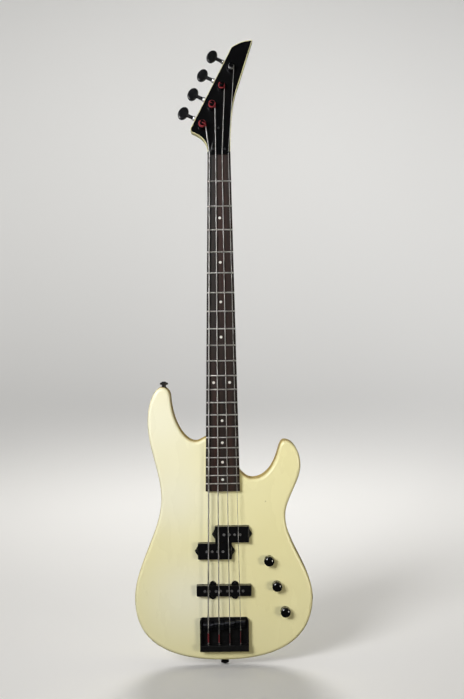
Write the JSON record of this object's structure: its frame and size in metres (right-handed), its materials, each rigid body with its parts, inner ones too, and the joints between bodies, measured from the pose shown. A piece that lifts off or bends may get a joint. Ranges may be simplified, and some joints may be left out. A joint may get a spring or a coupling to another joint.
{
  "type": "electric bass guitar",
  "caption": "Solid-body electric bass guitar with a bolted-on long-scale neck, split and bar pickups, turning tuners and knobs, and saddles that slide on screws.",
  "frame": {"origin": "seat of the end strap button, at the body end on the centre line at mid-thickness", "axes": "+Z along the neck towards the headstock, the face towards -Y, +X to the treble side"},
  "size_m": [0.3344, 0.0713, 1.1726],
  "materials": {
    "cream_body": "aged cream gloss lacquer over wood",
    "cream_neck": "aged cream gloss lacquer over maple",
    "black_face": "black gloss lacquer",
    "rosewood": "oiled rosewood",
    "fret_wire": "polished nickel silver",
    "pearl": "white pearl",
    "black_nut": "black composite",
    "plain_steel": "plain steel",
    "bright_screw": "nickel-plated steel",
    "black_metal": "black plated metal",
    "tuner_metal": "black chrome",
    "string_wire": "roundwound steel, silk ends",
    "pickup_black": "black moulded plastic",
    "coil_tape": "taped copper winding",
    "foam": "black foam rubber",
    "brass": "plain brass",
    "knob_black": "black moulded knob",
    "cover_plastic": "black sheet plastic",
    "capacitor": "dipped capacitor",
    "wire_jacket": "cloth-covered lead"
  },
  "bodies": {
    "bass": {"body": "cream_body", "neck": "cream_neck", "headstock_face": "black_face", "fretboard": "rosewood", "frets": "fret_wire", "position_dots": "pearl", "nut": "black_nut", "truss_rod": "plain_steel", "truss_rod_cover": "black_face", "small_screws": "bright_screw", "neck_cups": "black_metal", "neck_screws": "bright_screw", "strap_buttons": "black_metal", "strap_button_screws": "bright_screw", "tuner_housings": "tuner_metal", "tuner_bushings": "tuner_metal", "pickup_cover_split_treble": "pickup_black", "pickup_cover_split_bass": "pickup_black", "pickup_cover_bar": "pickup_black", "pickup_coils": "coil_tape", "pickup_poles": "bright_screw", "pickup_foam": "foam", "bridge_base": "black_metal", "bridge_screws": "bright_screw", "string_ball_ends": "brass", "length_springs": "plain_steel", "pot_bodies": "plain_steel", "pot_nuts": "plain_steel", "control_cover": "cover_plastic", "tone_capacitor": "capacitor", "jack_plate": "black_metal", "jack_nut": "bright_screw", "jack_socket": "plain_steel", "wiring": "wire_jacket", "string_e": "string_wire", "string_a": "string_wire", "string_d": "string_wire", "string_g": "string_wire"},
    "knob_volume_p": {"knob_volume_p": "knob_black", "pot_shaft_volume_p": "plain_steel"},
    "knob_volume_j": {"knob_volume_j": "knob_black", "pot_shaft_volume_j": "plain_steel"},
    "knob_tone": {"knob_tone": "knob_black", "pot_shaft_tone": "plain_steel"},
    "tuner_key_e": {"tuner_key_e": "tuner_metal"},
    "tuner_post_e": {"tuner_post_e": "tuner_metal"},
    "tuner_key_a": {"tuner_key_a": "tuner_metal"},
    "tuner_post_a": {"tuner_post_a": "tuner_metal"},
    "tuner_key_d": {"tuner_key_d": "tuner_metal"},
    "tuner_post_d": {"tuner_post_d": "tuner_metal"},
    "tuner_key_g": {"tuner_key_g": "tuner_metal"},
    "tuner_post_g": {"tuner_post_g": "tuner_metal"},
    "length_screw_e": {"length_screw_e": "plain_steel"},
    "saddle_e": {"saddle_e": "black_metal"},
    "length_screw_a": {"length_screw_a": "plain_steel"},
    "saddle_a": {"saddle_a": "black_metal"},
    "length_screw_d": {"length_screw_d": "plain_steel"},
    "saddle_d": {"saddle_d": "black_metal"},
    "length_screw_g": {"length_screw_g": "plain_steel"},
    "saddle_g": {"saddle_g": "black_metal"}
  },
  "joints": [
    {"name": "volume_p_turn", "type": "hinge", "parent": "bass", "child": "knob_volume_p", "pos_m": [0.0847, -0.021, 0.1883], "axis": [0, -1, 0], "range_deg": [-150, 150]},
    {"name": "volume_j_turn", "type": "hinge", "parent": "bass", "child": "knob_volume_j", "pos_m": [0.099, -0.021, 0.1406], "axis": [0, -1, 0], "range_deg": [-150, 150]},
    {"name": "tone_turn", "type": "hinge", "parent": "bass", "child": "knob_tone", "pos_m": [0.1142, -0.021, 0.0924], "axis": [0, -1, 0], "range_deg": [-150, 150]},
    {"name": "key_e_turn", "type": "hinge", "parent": "bass", "child": "tuner_key_e", "pos_m": [-0.02513, 0.00604, 1.00432], "axis": [-0.8976, 0.0765, 0.434], "continuous": true},
    {"name": "post_e_turn", "type": "hinge", "parent": "bass", "child": "tuner_post_e", "pos_m": [-0.03016, -0.01538, 0.9977], "axis": [0, -0.9848, 0.1736], "continuous": true},
    {"name": "key_a_turn", "type": "hinge", "parent": "bass", "child": "tuner_key_a", "pos_m": [-0.00697, 0.01246, 1.04074], "axis": [-0.8976, 0.0765, 0.434], "continuous": true},
    {"name": "post_a_turn", "type": "hinge", "parent": "bass", "child": "tuner_post_a", "pos_m": [-0.012, -0.00896, 1.03413], "axis": [0, -0.9848, 0.1736], "continuous": true},
    {"name": "key_d_turn", "type": "hinge", "parent": "bass", "child": "tuner_key_d", "pos_m": [0.01118, 0.01888, 1.07716], "axis": [-0.8976, 0.0765, 0.434], "continuous": true},
    {"name": "post_d_turn", "type": "hinge", "parent": "bass", "child": "tuner_post_d", "pos_m": [0.00616, -0.00254, 1.07055], "axis": [0, -0.9848, 0.1736], "continuous": true},
    {"name": "key_g_turn", "type": "hinge", "parent": "bass", "child": "tuner_key_g", "pos_m": [0.02934, 0.02531, 1.11358], "axis": [-0.8976, 0.0765, 0.434], "continuous": true},
    {"name": "post_g_turn", "type": "hinge", "parent": "bass", "child": "tuner_post_g", "pos_m": [0.02432, 0.00388, 1.10697], "axis": [0, -0.9848, 0.1736], "continuous": true},
    {"name": "length_screw_e_turn", "type": "hinge", "parent": "bass", "child": "length_screw_e", "pos_m": [-0.03, -0.0272, 0.0208], "axis": [0, 0, 1], "range_deg": [-2520, 1800]},
    {"name": "saddle_e_slide", "type": "slide", "parent": "bass", "child": "saddle_e", "axis": [0, 0, 1], "range_m": [-0.0025, 0.0035], "deforming": ["length_springs"]},
    {"name": "length_screw_a_turn", "type": "hinge", "parent": "bass", "child": "length_screw_a", "pos_m": [-0.01, -0.0272, 0.0208], "axis": [0, 0, 1], "range_deg": [-2520, 1800]},
    {"name": "saddle_a_slide", "type": "slide", "parent": "bass", "child": "saddle_a", "axis": [0, 0, 1], "range_m": [-0.0025, 0.0035], "deforming": ["length_springs"]},
    {"name": "length_screw_d_turn", "type": "hinge", "parent": "bass", "child": "length_screw_d", "pos_m": [0.01, -0.0272, 0.0208], "axis": [0, 0, 1], "range_deg": [-2520, 1800]},
    {"name": "saddle_d_slide", "type": "slide", "parent": "bass", "child": "saddle_d", "axis": [0, 0, 1], "range_m": [-0.0025, 0.0035], "deforming": ["length_springs"]},
    {"name": "length_screw_g_turn", "type": "hinge", "parent": "bass", "child": "length_screw_g", "pos_m": [0.03, -0.0272, 0.0208], "axis": [0, 0, 1], "range_deg": [-2520, 1800]},
    {"name": "saddle_g_slide", "type": "slide", "parent": "bass", "child": "saddle_g", "axis": [0, 0, 1], "range_m": [-0.0025, 0.0035], "deforming": ["length_springs"]}
  ],
  "couplings": [
    {"joint": "key_e_turn", "follows": "post_e_turn", "ratio": -20},
    {"joint": "key_a_turn", "follows": "post_a_turn", "ratio": -20},
    {"joint": "key_d_turn", "follows": "post_d_turn", "ratio": -20},
    {"joint": "key_g_turn", "follows": "post_g_turn", "ratio": -20},
    {"joint": "length_screw_e_turn", "follows": "saddle_e_slide", "rad_per_m": -12566},
    {"joint": "length_screw_a_turn", "follows": "saddle_a_slide", "rad_per_m": -12566},
    {"joint": "length_screw_d_turn", "follows": "saddle_d_slide", "rad_per_m": -12566},
    {"joint": "length_screw_g_turn", "follows": "saddle_g_slide", "rad_per_m": -12566}
  ]
}
